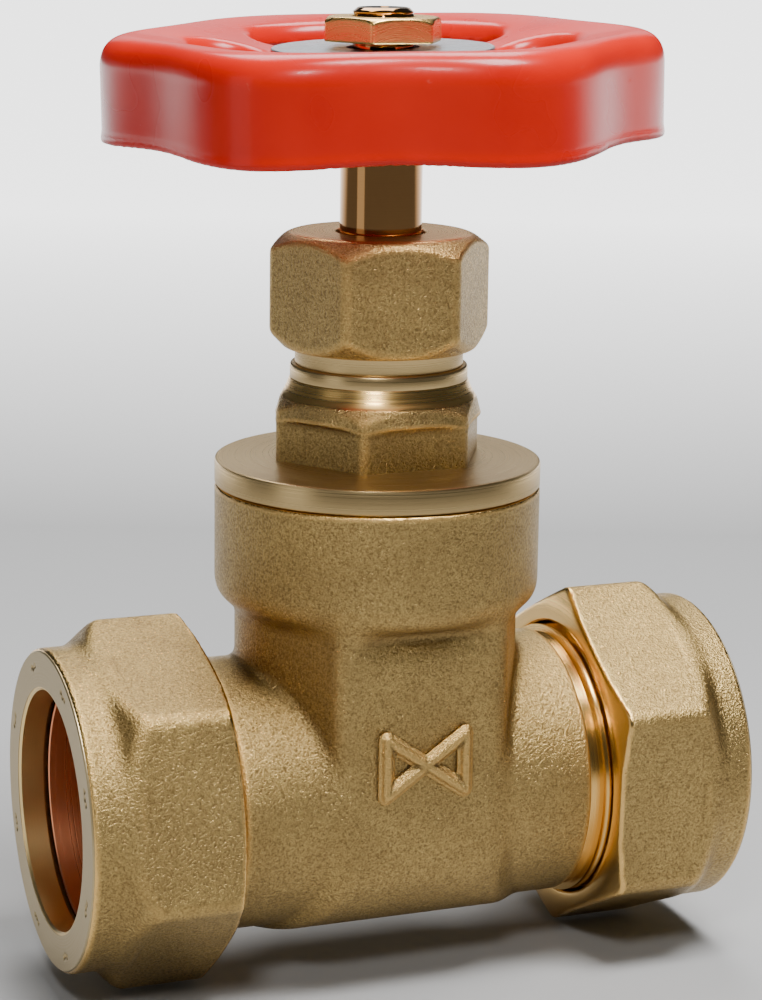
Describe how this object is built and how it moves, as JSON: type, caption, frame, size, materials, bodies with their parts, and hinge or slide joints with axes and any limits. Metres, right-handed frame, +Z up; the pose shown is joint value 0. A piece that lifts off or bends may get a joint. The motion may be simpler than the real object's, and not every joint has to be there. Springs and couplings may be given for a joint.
{
  "type": "gate valve",
  "caption": "Brass wheel-head gate valve with a red scalloped handwheel and hexagon compression nuts at both ends.",
  "frame": {"origin": "where the pipe axis crosses the stem axis, in the middle of the body", "axes": "+Z up along the stem to the handwheel, X along the pipe, -Y the front with the raised mark"},
  "size_m": [0.0657, 0.052, 0.0911],
  "materials": {
    "forged_brass": "hot-forged and blasted, fine sandy grain",
    "nut_brass": "blasted forging with bright turned faces and edges",
    "machined_brass": "turned, with fine tool rings",
    "stem_brass": "turned and polished",
    "red_paint": "gloss enamel",
    "disc_aluminium": "satin sheet",
    "copper": "bright turned copper",
    "packing": "matt graphited yarn",
    "gasket_fibre": "matt fibre sheet"
  },
  "bodies": {
    "valve_body": {"body": "forged_brass", "bonnet": "machined_brass", "bonnet_gasket": "gasket_fibre", "stem_retaining_nut": "machined_brass", "packing_ring_lower": "packing", "packing_ring_middle": "packing", "packing_ring_upper": "packing"},
    "stem": {"stem": "stem_brass", "handwheel": "red_paint", "identity_disc": "disc_aluminium", "wheel_nut": "machined_brass"},
    "wedge": {"wedge": "forged_brass"},
    "gland_follower": {"gland_follower": "machined_brass"},
    "gland_nut": {"gland_nut": "nut_brass"},
    "left_olive": {"left_olive": "copper"},
    "left_nut": {"left_compression_nut": "nut_brass"},
    "right_olive": {"right_olive": "copper"},
    "right_nut": {"right_compression_nut": "nut_brass"}
  },
  "joints": [
    {"name": "handwheel_turn", "type": "hinge", "parent": "valve_body", "child": "stem", "pos_m": [0, 0, 0.066], "axis": [0, 0, 1], "range_deg": [0, 2592]},
    {"name": "wedge_lift", "type": "slide", "parent": "valve_body", "child": "wedge", "axis": [0, 0, 1], "range_m": [0, 0.01805]},
    {"name": "gland_travel", "type": "slide", "parent": "valve_body", "child": "gland_follower", "axis": [0, 0, 1], "range_m": [0, 0.00655]},
    {"name": "gland_nut_turn", "type": "hinge", "parent": "gland_follower", "child": "gland_nut", "pos_m": [0, 0, 0.0475], "axis": [0, 0, 1], "range_deg": [0, 1872]},
    {"name": "left_nut_travel", "type": "slide", "parent": "valve_body", "child": "left_olive", "axis": [-1, 0, 0], "range_m": [0, 0.00655]},
    {"name": "left_nut_turn", "type": "hinge", "parent": "left_olive", "child": "left_nut", "pos_m": [-0.025, 0, 0], "axis": [-1, 0, 0], "range_deg": [0, 1560]},
    {"name": "right_nut_travel", "type": "slide", "parent": "valve_body", "child": "right_olive", "axis": [1, 0, 0], "range_m": [-0.00115, 0.00555]},
    {"name": "right_nut_turn", "type": "hinge", "parent": "right_olive", "child": "right_nut", "pos_m": [0.026, 0, 0], "axis": [1, 0, 0], "range_deg": [-273.6, 1320]}
  ],
  "couplings": [
    {"joint": "wedge_lift", "follows": "handwheel_turn", "m_per_rad": 0.00039789},
    {"joint": "gland_travel", "follows": "gland_nut_turn", "m_per_rad": 0.00019894},
    {"joint": "left_nut_travel", "follows": "left_nut_turn", "m_per_rad": 0.00023873},
    {"joint": "right_nut_travel", "follows": "right_nut_turn", "m_per_rad": 0.00023873}
  ]
}
